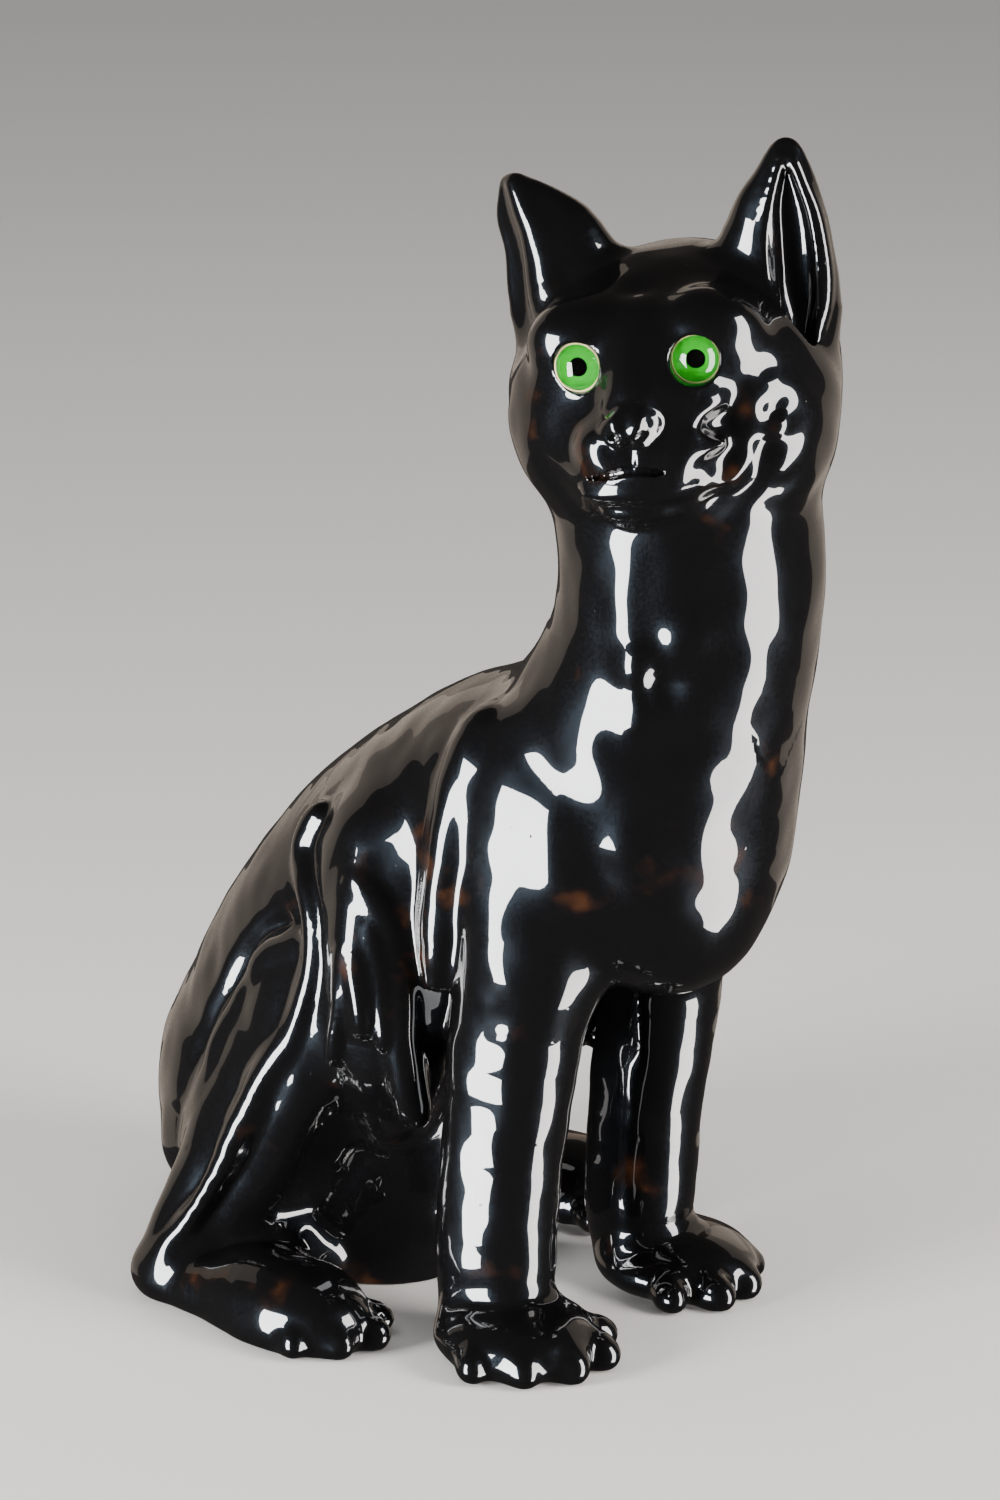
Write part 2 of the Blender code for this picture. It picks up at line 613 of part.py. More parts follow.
def socket(name, side, cutters):
    """The round recess an eye is bedded in, as a cutter."""
    shape = bmesh.new()
    height = SOCKET_DEPTH + SOCKET_REACH
    bmesh.ops.create_cone(shape, cap_ends=True, segments=TURNED_STEPS, radius1=SOCKET_RADIUS * MM,
                          radius2=SOCKET_RADIUS * MM, depth=height * MM)
    bmesh.ops.translate(shape, verts=shape.verts[:], vec=(0, 0, (height / 2 - SOCKET_DEPTH) * MM))
    mesh = bpy.data.meshes.new(name)
    shape.to_mesh(mesh)
    shape.free()
    obj = new_object(name, mesh, cutters)
    obj.matrix_world = eye_matrix(side)
    return as_cutter(obj)


def vent(cutters):
    """The firing vent under the rump, as a cutter."""
    shape = bmesh.new()
    bmesh.ops.create_cone(shape, cap_ends=True, segments=TURNED_STEPS, radius1=VENT_RADIUS * MM,
                          radius2=VENT_RADIUS * MM, depth=VENT_HEIGHT * MM)
    mesh = bpy.data.meshes.new("firing_vent")
    shape.to_mesh(mesh)
    shape.free()
    obj = new_object("firing_vent", mesh, cutters)
    obj.location = (VENT_CENTRE[0] * MM, VENT_CENTRE[1] * MM, 0.0)
    return as_cutter(obj)


def put_on_base(collections):
    """Hang everything that has no parent on one empty that moves the footprint's middle to the origin."""
    base = bpy.data.objects.new("cat_base", None)
    base.empty_display_size = BASE_AXIS_SIZE * MM
    base.location = -Vector(FOOTPRINT_MIDDLE) * MM
    for collection in collections:
        for obj in collection.objects:
            if obj.parent is None:
                obj.parent = base
    collections[0].objects.link(base)


def build():
    """Make every piece."""
    parts, cutters = start_scene()
    shades = {name: material(name, *values) for name, values in SHADES.items()}
    masses = body_masses() + head_masses()
    hollows = {
        "body": cavity("body_cavity", masses, *BODY_CAVITY, cutters),
        "head": cavity("head_cavity", masses, *HEAD_CAVITY, cutters),
    }
    trunk = casting("trunk_casting", masses, *TRUNK_CASTING, parts)
    trunk.data.materials.append(shades["black_glaze"])
    boolean(trunk, seam_block("floor_trim", (FLOOR_SEAM,), 1, 0.0, cutters), "INTERSECT")
    for name, side, seams, box, step, triangles, inside in LIMB_CASTINGS:
        obj = casting(name, masses, box, step, triangles, parts)
        obj.data.materials.append(shades["black_glaze"])
        block = seam_block(name + "_seam", (*seams, FLOOR_SEAM), side, 0.0, cutters)
        clear = seam_block(name + "_clearance", seams, side, SEAM_GAP, cutters)
        boolean(obj, block, "INTERSECT")
        if inside:
            boolean(obj, hollows[inside], "DIFFERENCE")
        boolean(trunk, clear, "DIFFERENCE")
    boolean(trunk, hollows["body"], "DIFFERENCE")
    boolean(trunk, vent(cutters), "DIFFERENCE")
    head = parts.objects["head_casting"]
    for side_name, side in (("left", 1), ("right", -1)):
        boolean(head, socket(side_name + "_socket", side, cutters), "DIFFERENCE")
        eye(side_name, side, parts, shades)
    put_on_base((parts, cutters))


build()
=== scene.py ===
"""Looks of the seated ceramic cat: one glazed skin over its seven castings, and two set-in glass eyes.

The modeller's frame is in millimetres: the cat faces -Y, stands on z = 0, and its right side is -X.
Everything is moved by FOOTPRINT_MIDDLE and turned into metres when its mesh is made.
"""
import itertools
import math

import bpy
import numpy as np
from mathutils import Matrix, Vector


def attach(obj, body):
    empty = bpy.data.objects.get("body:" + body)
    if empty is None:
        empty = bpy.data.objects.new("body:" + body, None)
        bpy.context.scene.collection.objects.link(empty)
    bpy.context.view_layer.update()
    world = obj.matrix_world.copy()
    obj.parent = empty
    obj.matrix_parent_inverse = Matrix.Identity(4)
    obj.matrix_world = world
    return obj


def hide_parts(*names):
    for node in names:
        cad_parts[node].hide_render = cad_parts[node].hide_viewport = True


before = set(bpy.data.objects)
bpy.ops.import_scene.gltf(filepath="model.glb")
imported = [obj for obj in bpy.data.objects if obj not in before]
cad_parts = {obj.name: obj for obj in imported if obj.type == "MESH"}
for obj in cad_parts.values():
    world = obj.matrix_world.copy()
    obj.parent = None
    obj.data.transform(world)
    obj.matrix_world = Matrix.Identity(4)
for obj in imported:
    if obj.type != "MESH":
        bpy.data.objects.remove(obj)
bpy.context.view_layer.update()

MM = 0.001

# Widths over which one lump of clay is smoothed into another
CHEST_BLEND = 16.0
BROAD_BLEND = 14.0
WIDE_BLEND = 10.0
LIMB_BLEND = 8.0
PAW_BLEND = 6.0
SOFT_BLEND = 5.0
CLOSE_BLEND = 4.0
EDGE_BLEND = 3.0
FOLD_BLEND = 2.5
RIM_BLEND = 2.4
TOE_BLEND = 2.2
FINE_BLEND = 2.0
NOSE_BLEND = 1.8
HOLLOW_BLEND = 1.5
SOLE_BLEND = 1.4
MOUTH_BLEND = 1.2
THIN_BLEND = 1.0
SOCKET_BLEND = 0.9

# Middle of the footprint in the modeller's frame; it is the part's origin
FOOTPRINT_MIDDLE = np.array((0.0, 12.5, 0.0))

# Head: centre, and turn about up, about its own side axis and about its nose
HEAD_CENTRE = (-3.0, -63.0, 281.0)
HEAD_TURN = (-65.0, 3.0, -7.0)

# Trunk: ball (centre, radii, turn) and roll (x, y, z, radius) stations
TRUNK_ROLL = ((0, -46, 160, 41), (0, -6, 142, 44), (0, 34, 106, 48), (0, 68, 58, 47))
CHEST_BALL = ((0, -57, 160), (38, 35, 54), (0, -10, 0))
RUMP_BALL = ((0, 74, 42), (46, 44, 44), (0, 0, 0))
NECK_ROLL = ((0, -60, 185, 37), (0, -68, 220, 35), (0, -66, 256, 35))
BELLY_ROLL = ((0, 38, 90, 38), (0, 42, 60, 38), (0, 43, 36, 36), (0, 46, 4, 28))
TAIL_ROLL = ((0, 106, 50, 13), (1, 119, 30, 11.5), (12, 124, 13, 10), (32, 117, 9, 9), (51, 103, 8, 6.5))

# Limbs of the cat's left side (+X); the right side mirrors them
SHOULDER_BALL = ((30, -36, 142), (18, 25, 46), (0, -6, 0))
FORELEG_FRONT_ROLL = ((32, -38, 130, 19), (32.4, -36, 90, 14.5), (32.4, -31, 50, 13.2), (32.4, -29, 18, 13))
FORELEG_BACK_ROLL = ((33, -34, 126, 15), (33.8, -28.5, 90, 13.8), (33.8, -23.5, 50, 12.8),
                     (33.8, -21.5, 18, 12.6))
FOREPAW_BALL = ((37, -37, 7), (22, 25, 12), (6, 0, 0))
FORE_TOES = ((56, -37, 5.6, 50), (50, -49, 6, 28), (39.5, -56, 6.4, 6), (28, -57, 6.2, -10),
             (18.5, -49, 5.4, -32))
THIGH_ROLL = ((34, 12, 142, 17), (37, 9, 112, 19), (37, 9, 90, 17), (34, 11, 72, 12), (30, 15, 60, 8))
WEB_BALL = ((41, 52, 10), (19, 19, 17), (0, 0, 0))
SHANK_ROLL = ((37, 27, 100, 18), (37.5, 38, 75, 19), (41, 50, 48, 17), (51, 60, 26, 12.5), (65, 70, 8, 7.5))
CALF_ROLL = ((38, 40, 96, 12.5), (40, 54, 72, 12), (44, 64, 48, 11.5), (56, 69, 26, 9.5), (68, 72, 8, 7))
THIGH_EDGE_ROLL = ((39, 34, 148, 3.5), (40, 38, 138, 3.5), (47.5, 31, 129, 3), (52.5, 24, 118, 2.5),
                   (54.5, 25, 102, 2.5), (55, 32, 86, 2.5), (56, 39, 75, 3), (57.5, 46.5, 60, 4),
                   (64.5, 55, 37, 2.5), (69.5, 65.5, 20, 2), (72.5, 71.5, 8, 2.5))
REAR_EDGE_ROLL = ((51, 29, 114, 2.5), (47.5, 41, 109, 3), (47, 48, 103.5, 3), (46.5, 54, 94, 3),
                  (46.5, 59.5, 85, 3), (47, 64, 77, 3), (47, 67, 69, 3), (47, 71, 56, 3), (46, 78, 43, 3),
                  (48, 76, 30, 2.5))
REAR_VALLEY_ROLL = ((48, 40, 116, 2), (50, 49, 110, 3.5), (50, 57, 101, 4), (50.5, 63, 91, 4),
                    (51, 69, 80, 3.5), (50, 78, 68, 2))
BUTTOCK_BALL = ((28, 84, 36), (19.5, 19.5, 20), (0, 0, 0))
HIND_FOOT_ROLL = ((66, 76, 6, 7), (68, 54, 7, 8), (66, 36, 8, 12))
HIND_PAW_BALL = ((64, 25, 7), (18, 28, 15.5), (4, 0, 0))
HIND_TOES = ((77, 13, 5.2, 35), (69.5, 4, 5.8, 14), (59.5, 1, 5.8, -8), (51, 7, 5.2, -30))
SHOULDER_RIDGE_ROLL = ((34, -22, 182, 6), (43, -20, 160, 5), (46, -18, 135, 5), (46, -16, 112, 4))
FLANK_ROLL = ((47, 9, 136, 5), (52, 7, 116, 5.5), (53, 6, 98, 4))
FLANK_FOLDS = (
    ((51.5, 8, 136, 3.5), (50, 2.5, 131, 4.3), (48.5, -1, 122, 4.6), (48.5, -3.7, 104, 4.8),
     (48, -4, 91, 4.8), (45.7, -4.2, 79, 5), (43, -4.3, 68, 5)),
    ((54, 2, 124, 1.6), (53.5, -0.5, 115, 2), (53.5, -2, 102, 2), (53.5, -2, 91, 1.5)),
    ((57, 5, 116, 2), (57.5, 3.5, 105, 2.6), (57, 3, 95, 2)),
    ((57, 9, 117, 2), (57.5, 10, 104, 2.2), (56.5, 13, 92, 2), (55, 16, 82, 1.6)),
)
TOE_HEIGHT = 5.0
TOE_SHAPE = (0.95, 1.5, 1.05)

# Head, in its own frame: the nose points along -Y
CRANIUM_BALL = ((0, 8, 2), (44.5, 42, 34.0))
FACE_BALL = ((0, -8, -4), (40, 32, 30))
RIGHT_CHEEK_BALL = ((-22, -6, -11), (19, 26, 19))
LEFT_CHEEK_BALL = ((24, -6, -13), (20, 26, 21))
MUZZLE_BALL = ((0, -32, -13), (21, 18, 14))
LOWER_LIP_BALL = ((-2, -41.5, -18.6), (15, 7.2, 4.6))
CHIN_BALL = ((-3, -37.5, -24.5), (11, 8.5, 5.2))
NOSE_BALL = ((-0.5, -46.3, -0.8), (8, 6, 5.4))
NOSTRIL_BALLS = (((-4.4, -51.6, -2.8), (1.7, 2, 1.2)), ((3.4, -52.2, -3), (1.7, 2, 1.2)))
LID_BALL = ((18, -25, 20), (13, 10, 9))
WHISKER_PAD_BALLS = (((-8, -41, -6.8), (9, 8, 7.5)), ((8.5, -39, -8.5), (9.5, 8, 7.5)))
NOSE_BRIDGE_ROLL = ((0.5, -25, 16, 10.5), (0.5, -34.3, 7, 9), (0, -42.3, 0, 6.8))
NOSE_SIDE_BALL = ((13, -32.5, 2), (8, 10, 9))
PHILTRUM_ROLL = ((-0.5, -51, -6, 0.5), (-0.7, -50, -9, 0.6), (-1, -49.6, -12, 0.6))
MOUTH_ROLL = ((-17, -41, -14.8, 0.7), (-9, -47.5, -13.4, 0.9), (-1, -49.6, -12, 0.8),
              (7, -47.5, -13.4, 0.9), (14, -43, -14.8, 0.7))
RIGHT_EAR_ROLL = ((-27, 6, 24, 18), (-30, 6, 37, 14), (-36, 6, 47.5, 9), (-40, 6, 54.5, 3.6))
LEFT_EAR_ROLL = ((29, 6, 18, 19), (32, 6, 36, 14), (35.5, 6, 50, 8), (37, 6, 58, 3.8))
RIGHT_EAR_HOLLOW = ((-53.5, -15.5, 21, 18.5), (-53.5, -16, 29, 23), (-54.1, -15.3, 38, 24),
                    (-55.7, -13.3, 47, 22), (-54.9, -9.9, 55, 20))
LEFT_EAR_HOLLOW = ((39.5, -6, 11, 3), (38, -4, 20, 5), (37.5, -3.5, 30, 5.8), (37.8, -2.5, 40, 5.4),
                   (38, -1, 49, 3.6), (38, 1, 55, 1.5))
EAR_RIMS = (
    ((-37.5, 4.4, 56, 2.4), (-34.9, 3.2, 49.5, 3.6), (-32.2, 2.2, 43, 4.8), (-31, 1.4, 36.4, 5.4),
     (-30.5, 0.8, 29.5, 6.2), (-29, -0.4, 24, 7.4)),
    ((36, 2.8, 57.5, 1.1), (32.5, 1, 47, 1.5), (30.9, 0.4, 37, 1.6), (30.4, -0.9, 28, 1.7),
     (31.8, -5.8, 20, 1.7)),
    ((39, 3.2, 56.5, 1.1), (41.2, 2.5, 50, 1.3), (43.6, 2.3, 41.6, 1.4), (44.8, 1.3, 29.5, 1.5),
     (44.2, 0.6, 19, 1.5), (41.4, -2.2, 11, 1.5)),
)
EAR_FLATNESS = 0.62

# Seam planes of the castings, each a point on the plane and the direction out of the casting
NECK_SEAM = ((-3, -63, 243), (0.22, 0.10, -1.0))
FORE_LEG_SEAMS = (((33, -32, 90), (0, 0.5, 1)), ((33, -8.2, 40), (0, 1, 0)), ((8, 0, 0), (-1, 0, 0)))
HIND_LEG_SEAMS = (((34, 0, 0), (-1, 0, 0)), ((40, -7.9, 60), (0, -1, 0)), ((40, 10, 158), (0, 0, 1)),
                  ((60, 88, 0), (0, 0.956, 0.293)))
TAIL_SEAMS = (((15.9, 106.2, 13.8), (-0.35, -0.70, 0.62)), ((0, 92, 0), (0, -1, 0)))

# Castings cut from the trunk's skin: piece, CAD node, seams and side
CASTINGS = (
    ("head_skin", "head_casting", (NECK_SEAM,), 1),
    ("front_leg_left_skin", "front_leg_left", FORE_LEG_SEAMS, 1),
    ("front_leg_right_skin", "front_leg_right", FORE_LEG_SEAMS, -1),
    ("hind_leg_left_skin", "hind_leg_left", HIND_LEG_SEAMS, 1),
    ("hind_leg_right_skin", "hind_leg_right", HIND_LEG_SEAMS, -1),
    ("tail_skin", "tail_casting", TAIL_SEAMS, 1),
)

# Eyes, measured in the head's own frame from its centre; splay and rise are in degrees
EYE_SIDE = 16.0
EYE_FORWARD = 34.4
EYE_HEIGHT = 13.2
EYE_SPLAY = 8.0
EYE_RISE = 5.0
SOCKET_RADIUS = 6.45
SOCKET_DEPTH = 3.6
SOCKET_REACH = 9.0

# Firing vent under the rump
VENT_CENTRE = (0.0, 74.0)
VENT_RADIUS = 5.0
VENT_DEPTH = 7.0

# Waves the modeller's fingers left: seed, number, shortest and longest length, slope
WAVES = (11, 36, 9.0, 42.0, 0.055)

# Lumps of fur and flesh: middle, spread and waves of each patch; those of the head are in its own frame
HEAD_TUFTS = (
    ((25.0, -34.0, -9.0), (14.0, 14.0, 13.0), (17, 16, 9.0, 13.0, 0.8)),
    ((-1.0, -50.0, -1.0), (8.0, 8.0, 5.5), (21, 10, 5.0, 8.0, 0.5)),
)
BODY_TUFTS = (
    ((-32.0, -84.0, 205.0), (16.0, 16.0, 24.0), (3, 10, 13.0, 22.0, 0.34)),
    ((-44.0, -62.0, 160.0), (16.0, 22.0, 24.0), (9, 10, 20.0, 34.0, 0.26)),
)

# Square of the distance from its middle, in spreads, at which a patch of lumps ends
TUFT_REACH = 9.0

# Sampling grid: cell sizes at body and head, and where one passes into the other
BODY_CELL = 1.4
HEAD_CELL = 0.8
CELL_CHANGE = (205.0, 242.0)
GRID_AXIS = (0.0, -63.0)
GRID_SIDE = 66
GRID_FRONT = 80
GRID_BACK = 146
GRID_FLOOR = -3.0
GRID_TOP = 352.0

# Coarse blocks: their size in cells, and how near to the skin, in blocks, one is sampled in full
COARSE = 3
SKIN_REACH = 1.2

# Distance given to places far from the clay, and the height below which the skin is bare sole
CLAY_FAR = 60.0
SOLE_LEVEL = 0.12

# Points of a spline from one station to the next, and the smallest number divided by
SPLINE_STEPS = 4
TINY = 1e-9

# How far past its blend a lump counts: on the coarse grid, close to the skin and on the skin itself
COARSE_MARGIN = 14.0
CLOSE_MARGIN = 8.0
SKIN_MARGIN = 3.0

# Settling of the points on the skin: rounds, reach of the slope samples, least slope and longest move
SETTLING_ROUNDS = 2
SLOPE_REACH = 0.08
LEAST_SLOPE = 0.25
LONGEST_MOVE = 0.5

# Glaze: each noise as lumps per metre, detail and roughness, and each range as the values it fades
# between, followed by what they become
GLAZE_BLACK = (0.0016, 0.0015, 0.0016)
GLAZE_RUST = (0.034, 0.012, 0.004)
PATCH_NOISE = (26.0, 3.0, 0.6)
PATCH_RANGE = (0.58, 0.72)
STREAK_NOISE = (95.0, 2.0, 0.5)
STREAK_RANGE = (0.45, 0.70)
SPECKLE_NOISE = (1100.0, 3.0, 0.7)
SPECKLE_RANGE = (0.35, 0.65, 0.22, 0.34)
PINHOLE_SCALE = 190.0
PINHOLE_RANGE = (0.03, 0.10)
CLEAR_NOISE = (60.0, 2.0, 0.5)
CLEAR_RANGE = (0.60, 0.64, 1.0, 0.0)
PEEL_NOISE = (120.0, 0.0, 0.5)
PEEL_SHARE = 0.3
GLAZE_DEPTH = 0.00012
BUMP_STRENGTH = 0.5
GLAZE_SOCKETS = (
    ("Specular IOR Level", 0.06),
    ("Specular Tint", (0.55, 0.75, 1.0, 1.0)),
    ("Coat Weight", 1.0),
    ("Coat Roughness", 0.015),
    ("Coat IOR", 1.55),
)

# Grain of the mottled materials: detail and roughness of its noise, and the values it runs between
GRAIN_DETAIL = (4.0, 0.65)
GRAIN_RANGE = (0.3, 0.7)

# Mottled materials: name, two colours, lumps per metre, roughness range, relief in metres, other sockets
SOLE_SHADE = ("bare_sole_clay", (0.34, 0.25, 0.17), (0.52, 0.43, 0.33), 700.0, (0.75, 0.92), 0.0002)
FLOOR_SHADE = ("pale_floor", (0.60, 0.59, 0.57), (0.64, 0.63, 0.61), 400.0, (0.70, 0.80), 0.00005)
EYE_SHADES = {
    "clear_glass": ("clear_eye_glass", (1, 1, 1), (1, 1, 1), 300.0, (0.0, 0.004), 0.000004,
                    (("Transmission Weight", 1.0), ("IOR", 1.5))),
    "green_enamel": ("green_eye_enamel", (0.004, 0.26, 0.004), (0.014, 0.42, 0.012), 500.0, (0.45, 0.60),
                     0.00002, (("Specular IOR Level", 0.1),)),
    "black_glass": ("black_eye_glass", (0.0008, 0.0008, 0.0008), (0.0014, 0.0014, 0.0014), 600.0,
                    (0.35, 0.45), 0.00001, (("Specular IOR Level", 0.0),)),
    "cream_cement": ("cream_eye_cement", (0.54, 0.43, 0.19), (0.72, 0.62, 0.34), 1400.0, (0.5, 0.7), 0.00006),
}

# Turned pieces of an eye: (radius, height) points about its line of sight
DOME_RADIUS = 6.15
DOME_EDGE = 0.1
DOME_RISE = 3.4
DOME_BACK = -1.3
DOME_RINGS = 16
GREEN_DISC = ((1.9, -1.2), (DOME_RADIUS, -1.2), (DOME_RADIUS, -2.3), (1.9, -2.3))
PUPIL = ((0, -1.15), (2.0, -1.15), (2.0, -2.4), (0, -2.4))
CEMENT_CUP = ((0, -2.6), (DOME_RADIUS, -2.6), (DOME_RADIUS, DOME_EDGE), (6.25, 0.25), (6.4, 0.18),
              (6.65, -0.2), (7.2, -1.2), (7.2, -3.5), (0, -3.5))
TURNED_STEPS = 96
SHARP_ANGLE = 50.0

# Camera: azimuth from the cat's front, positive to its left, and elevation, in degrees
AIM = Vector((0.0, -0.0125, 0.165))
CAMERA_AZIMUTH = -50.0
CAMERA_RISE = 16.0
CAMERA_DISTANCE = 1.3
LENS = 109.2

# Lamps: name, azimuth from the camera's, elevation, distance, size, power, colour, and whether dull and
# glossy surfaces show it
WARM_GREY = (1.0, 0.84, 0.70)
LAMPS = (
    ("left_softbox", -58, -6, 1.3, (0.55, 1.25), 115, (1.0, 1.0, 1.0), True, True),
    ("right_softbox", 62, -5, 1.3, (0.58, 2.3), 116, (1.0, 0.95, 0.92), True, True),
    ("left_rim_card", -138, 8, 1.5, (1.35, 2.0), 4.0, WARM_GREY, False, True),
    ("right_rim_card", 138, 8, 1.5, (1.35, 2.0), 4.0, WARM_GREY, False, True),
    ("upper_rim_card", 180, 16, 2.0, (3.0, 0.9), 3.8, WARM_GREY, False, True),
    ("overhead", 0, 85, 7.0, (9.0, 9.0), 480, (1.0, 1.0, 1.0), True, False),
)
WORLD_COLOUR = (0.5, 0.46, 0.42)
WORLD_STRENGTH = 0.1
FLOOR_REACH = 9.0


def turned(yaw, pitch, roll_angle):
    """Columns are the turned X, Y and Z axes; angles are in degrees about Z, X and Y."""
    return np.array(Matrix.Rotation(math.radians(yaw), 3, "Z")
                    @ Matrix.Rotation(math.radians(pitch), 3, "X")
                    @ Matrix.Rotation(math.radians(roll_angle), 3, "Y"))


HEAD_AXES = turned(*HEAD_TURN)


def smooth_min(first, second, blend):
    """Union of two distances, rounded over the blend width."""
    close = np.maximum(blend - np.abs(first - second), 0.0) / blend
    return np.minimum(first, second) - close * close * blend * 0.25


def from_head(point):
    """A point of the head's own frame, in the cat's frame."""
    return np.array(HEAD_CENTRE) + HEAD_AXES @ np.array(point, float)


def mirrored(stations, side):
    """Points or stations with X multiplied by side."""
    return tuple((side * s[0], *s[1:]) for s in stations)


def ball(centre, radii, turn=(0, 0, 0), blend=LIMB_BLEND, on_head=False, carve=False):
    """An ellipsoid of clay as (distance function, low corner, high corner, blend, carve)."""
    axes = turned(*turn)
    middle = np.array(centre, float)
    if on_head:
        axes = HEAD_AXES @ axes
        middle = from_head(centre)
    radii = np.array(radii, float)

    def distance(points):
        local = (points - middle) @ axes
        near = np.sqrt(((local / radii) ** 2).sum(-1))
        slope = np.sqrt(((local / radii ** 2) ** 2).sum(-1))
        return near * (near - 1.0) / np.maximum(slope, TINY)

    reach = np.sqrt(((axes * radii) ** 2).sum(1))
    return distance, middle - reach, middle + reach, blend, carve


def spline(stations):
    """Catmull-Rom points through the stations."""
    known = np.array(stations, float)
    line = np.vstack([2 * known[0] - known[1], known, 2 * known[-1] - known[-2]])
    points = []
    for i in range(1, len(line) - 2):
        a, b, c, d = line[i - 1:i + 3]
        for t in np.linspace(0, 1, SPLINE_STEPS, endpoint=False):
            points.append(0.5 * (2 * b + (c - a) * t + (2 * a - 5 * b + 4 * c - d) * t ** 2
                                 + (3 * b - a - 3 * c + d) * t ** 3))
    points.append(known[-1])
    return np.array(points)


def roll(stations, blend=LIMB_BLEND, on_head=False, carve=False, flat=1.0, inner=CLOSE_BLEND):
    """A tapered roll of clay along a spline; flat squashes its depth in the head's frame."""
    line = spline(stations)
    depth = line[:, 1].mean()

    def distance(points):
        local = points
        if on_head:
            local = (points - np.array(HEAD_CENTRE)) @ HEAD_AXES
            local[..., 1] = (local[..., 1] - depth) / flat + depth
        total = None
        for start, end in zip(line[:-1], line[1:]):
            step = end[:3] - start[:3]
            share = np.clip(((local - start[:3]) @ step) / (step @ step), 0, 1)
            gap = np.linalg.norm(local - start[:3] - share[..., None] * step, axis=-1)
            gap -= start[3] + (end[3] - start[3]) * share
            total = gap if total is None else smooth_min(total, gap, inner)
        return total * (0.5 + 0.5 * flat)

    middles = np.array([from_head(p[:3]) for p in line]) if on_head else line[:, :3]
    reach = line[:, 3:4]
    return distance, (middles - reach).min(0), (middles + reach).max(0), blend, carve


def body_masses():
    """Every lump of the trunk, limbs and tail, in the order they are joined."""
    masses = [
        roll(TRUNK_ROLL, inner=PAW_BLEND),
        ball(*CHEST_BALL, blend=CHEST_BLEND),
        ball(*RUMP_BALL, blend=BROAD_BLEND),
        roll(BELLY_ROLL),
        roll(NECK_ROLL, blend=BROAD_BLEND),
    ]
    for side in (-1, 1):
        masses += limb_masses(side)
    masses.append(roll(TAIL_ROLL, blend=CLOSE_BLEND))
    return masses


def limb_masses(side):
    """The lumps of one side's legs, shoulder and flank; side is +1 for the cat's left."""
    def lump(entry, blend):
        (x, y, z), radii, (yaw, pitch, lean) = entry
        return ball((side * x, y, z), radii, (side * yaw, pitch, lean), blend)

    def strip(stations, blend=LIMB_BLEND, carve=False, inner=CLOSE_BLEND):
        return roll(mirrored(stations, side), blend=blend, carve=carve, inner=inner)

    masses = [
        lump(SHOULDER_BALL, WIDE_BLEND),
        strip(FORELEG_FRONT_ROLL),
        strip(FORELEG_BACK_ROLL, EDGE_BLEND),
        lump(FOREPAW_BALL, PAW_BLEND),
        lump(WEB_BALL, WIDE_BLEND),
        strip(THIGH_ROLL),
        strip(SHANK_ROLL),
        strip(CALF_ROLL),
        lump(BUTTOCK_BALL, EDGE_BLEND),
        strip(REAR_VALLEY_ROLL, CLOSE_BLEND, carve=True),
        strip(THIGH_EDGE_ROLL, EDGE_BLEND),
        strip(REAR_EDGE_ROLL, EDGE_BLEND),
        strip(HIND_FOOT_ROLL, PAW_BLEND),
        lump(HIND_PAW_BALL, SOFT_BLEND),
        strip(SHOULDER_RIDGE_ROLL, SOFT_BLEND),
        strip(FLANK_ROLL, PAW_BLEND),
    ]
    masses += [strip(fold, FOLD_BLEND, inner=FINE_BLEND) for fold in FLANK_FOLDS]
    for x, y, size, turn in FORE_TOES + HIND_TOES:
        radii = tuple(size * share for share in TOE_SHAPE)
        masses.append(lump(((x, y, TOE_HEIGHT), radii, (turn, 0, 0)), TOE_BLEND))
    return masses


def head_masses():
    """Every lump of the head and ears, then the hollows pressed into them."""
    def lumps(entries, blend, carve=False):
        return [ball(*entry, blend=blend, on_head=True, carve=carve) for entry in entries]

    def strips(lines, blend, inner=CLOSE_BLEND, carve=False, flat=1.0):
        return [roll(line, blend=blend, on_head=True, carve=carve, flat=flat, inner=inner) for line in lines]

    (x, y, z), lid_radii = LID_BALL
    lids = [((side * x, y, z), lid_radii) for side in (-1, 1)]
    masses = lumps((CRANIUM_BALL, FACE_BALL, RIGHT_CHEEK_BALL, LEFT_CHEEK_BALL, MUZZLE_BALL), WIDE_BLEND)
    masses += lumps(lids, WIDE_BLEND)
    masses += lumps(WHISKER_PAD_BALLS, EDGE_BLEND)
    masses += strips((NOSE_BRIDGE_ROLL,), SOFT_BLEND)
    masses += lumps((NOSE_SIDE_BALL,), LIMB_BLEND)
    masses += lumps((NOSE_BALL,), NOSE_BLEND)
    masses += lumps((LOWER_LIP_BALL,), FINE_BLEND)
    masses += lumps((CHIN_BALL,), FOLD_BLEND)
    masses += strips((MOUTH_ROLL,), MOUTH_BLEND, THIN_BLEND, carve=True)
    masses += strips((PHILTRUM_ROLL,), THIN_BLEND, THIN_BLEND, carve=True)
    masses += strips((RIGHT_EAR_ROLL, LEFT_EAR_ROLL), SOFT_BLEND, FINE_BLEND, flat=EAR_FLATNESS)
    masses += strips((RIGHT_EAR_HOLLOW, LEFT_EAR_HOLLOW), HOLLOW_BLEND, FINE_BLEND, carve=True)
    masses += strips(EAR_RIMS, RIM_BLEND, THIN_BLEND)
    masses += lumps(NOSTRIL_BALLS, MOUTH_BLEND, carve=True)
    return masses


def eye_matrix(side):
    """Where an eye sits in the modeller's frame, its Z axis pointing out of the face."""
    place = from_head((side * EYE_SIDE, -EYE_FORWARD, EYE_HEIGHT))
    out = Matrix(HEAD_AXES.tolist()) @ Matrix.Rotation(math.radians(side * EYE_SPLAY), 3, "Z")
    sight = out @ Matrix.Rotation(math.radians(90 - EYE_RISE), 3, "X")
    return Matrix.Translation(Vector(place)) @ sight.to_4x4()


